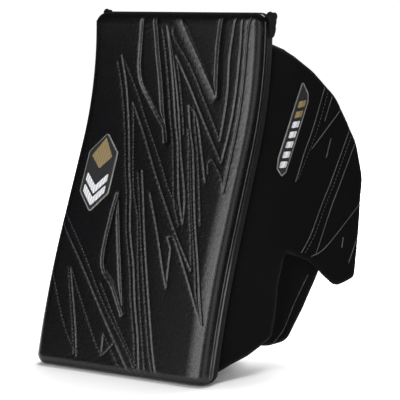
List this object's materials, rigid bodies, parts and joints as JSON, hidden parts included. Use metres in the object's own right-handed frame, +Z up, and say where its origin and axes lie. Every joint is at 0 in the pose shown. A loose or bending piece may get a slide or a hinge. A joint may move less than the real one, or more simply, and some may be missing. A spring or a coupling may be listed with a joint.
{
  "type": "goalie blocker",
  "caption": "Right-hand ice hockey goalie blocker: a bent padded board with a side wall, hinged thumb flap, finger guard, glove with finger stalls, cuff and wrist strap.",
  "frame": {"origin": "the middle of the board's flat foot, where it stands on the floor", "axes": "+X across the board to the thumb side, +Y from the striking face to the glove, +Z up"},
  "size_m": [0.2813, 0.2193, 0.3588],
  "materials": {
    "face_leather": "black synthetic leather, soft sheen",
    "suede": "matte black microsuede",
    "lining": "dark grey mesh lining",
    "foam": "closed-cell foam",
    "board_plastic": "black sheet plastic",
    "binding": "black woven binding",
    "palm_leather": "dark grey soft palm leather",
    "grip_patch": "textured grip patch",
    "loop_tape": "black loop tape",
    "hook_tape": "black hook tape",
    "webbing": "black webbing",
    "black_steel": "black-plated steel",
    "lace_cord": "black braided cord",
    "emblem": "embroidered patch, gold and white",
    "badge": "embroidered badge with a light border"
  },
  "bodies": {
    "board": {"face_cover": "face_leather", "foam_core": "foam", "stiffener": "board_plastic", "back_cover": "face_leather", "edge_binding": "binding", "face_emblem": "emblem", "board_loop_panel": "loop_tape", "glove_hook_panel": "hook_tape", "hand_pad": "lining", "palm_sheet": "palm_leather", "palm_grip_patch": "grip_patch", "little_finger_gusset": "palm_leather", "thumb_gusset": "palm_leather", "finger_bolster": "foam", "lacing_flange": "palm_leather", "side_wall_core": "foam", "side_wall_skin": "suede", "side_wall_liner": "lining", "side_wall_binding": "binding", "side_wall_top_binding": "binding", "cuff_core": "foam", "cuff_skin": "suede", "cuff_liner": "lining", "cuff_binding": "binding", "wrist_panel": "lining", "strap_loop_patch": "loop_tape", "strap_ring": "black_steel", "ring_tab": "webbing", "lace_lower": "lace_cord", "lace_upper": "lace_cord", "eyelet_1": "black_steel", "eyelet_2": "black_steel", "eyelet_3": "black_steel", "eyelet_4": "black_steel"},
    "thumb_flap": {"thumb_flap_core": "foam", "thumb_flap_skin": "suede", "thumb_flap_liner": "lining", "thumb_flap_binding": "binding", "flap_badge": "badge"},
    "index_guard": {"index_guard_core": "foam", "index_guard_skin": "suede", "index_guard_liner": "lining", "index_guard_binding": "binding"},
    "thumb_base": {"thumb_base": "palm_leather"},
    "thumb_tip": {"thumb_tip": "palm_leather"},
    "wrist_strap": {"wrist_strap": "webbing", "strap_hook_patch": "hook_tape"},
    "index_upper": {"index_finger_upper": "palm_leather"},
    "index_tip": {"index_finger_tip": "palm_leather"},
    "middle_upper": {"middle_finger_upper": "palm_leather"},
    "middle_tip": {"middle_finger_tip": "palm_leather"},
    "ring_upper": {"ring_finger_upper": "palm_leather"},
    "ring_tip": {"ring_finger_tip": "palm_leather"},
    "little_upper": {"little_finger_upper": "palm_leather"},
    "little_tip": {"little_finger_tip": "palm_leather"}
  },
  "joints": [
    {"name": "thumb_flap_hinge", "type": "hinge", "parent": "board", "child": "thumb_flap", "pos_m": [0.106, 0.1222, 0.22325], "axis": [0, -0.3303, -0.9439], "range_deg": [-12, 20]},
    {"name": "index_guard_flex", "type": "hinge", "parent": "board", "child": "index_guard", "pos_m": [0.091, 0.07603, 0.08047], "axis": [0, -0.3835, -0.9235], "range_deg": [-8, 6]},
    {"name": "index_knuckle", "type": "hinge", "parent": "board", "child": "index_upper", "pos_m": [0.07, 0.09407, 0.0979], "axis": [1, 0, 0], "range_deg": [0, 40]},
    {"name": "index_middle", "type": "hinge", "parent": "index_upper", "child": "index_tip", "pos_m": [0.07, 0.09406, 0.06434], "axis": [1, 0, 0], "range_deg": [0, 45]},
    {"name": "middle_knuckle", "type": "hinge", "parent": "board", "child": "middle_upper", "pos_m": [0.043, 0.09407, 0.0979], "axis": [1, 0, 0], "range_deg": [0, 40]},
    {"name": "middle_middle", "type": "hinge", "parent": "middle_upper", "child": "middle_tip", "pos_m": [0.043, 0.09406, 0.06134], "axis": [1, 0, 0], "range_deg": [0, 45]},
    {"name": "ring_knuckle", "type": "hinge", "parent": "board", "child": "ring_upper", "pos_m": [0.016, 0.09407, 0.0979], "axis": [1, 0, 0], "range_deg": [0, 40]},
    {"name": "ring_middle", "type": "hinge", "parent": "ring_upper", "child": "ring_tip", "pos_m": [0.016, 0.09406, 0.06334], "axis": [1, 0, 0], "range_deg": [0, 45]},
    {"name": "little_knuckle", "type": "hinge", "parent": "board", "child": "little_upper", "pos_m": [-0.011, 0.09407, 0.0979], "axis": [1, 0, 0], "range_deg": [0, 40]},
    {"name": "little_middle", "type": "hinge", "parent": "little_upper", "child": "little_tip", "pos_m": [-0.011, 0.09406, 0.06834], "axis": [1, 0, 0], "range_deg": [0, 45]},
    {"name": "thumb_root", "type": "hinge", "parent": "board", "child": "thumb_base", "pos_m": [0.06798, 0.11449, 0.15803], "axis": [0.1128, 0.7453, 0.6571], "range_deg": [0, 25]},
    {"name": "thumb_middle", "type": "hinge", "parent": "thumb_base", "child": "thumb_tip", "pos_m": [0.07434, 0.1298, 0.13958], "axis": [0.1128, 0.7453, 0.6571], "range_deg": [0, 35]},
    {"name": "strap_hinge", "type": "hinge", "parent": "board", "child": "wrist_strap", "pos_m": [0.086, 0.17308, 0.20595], "axis": [0, -0.3714, -0.9285], "range_deg": [0, 100]}
  ]
}
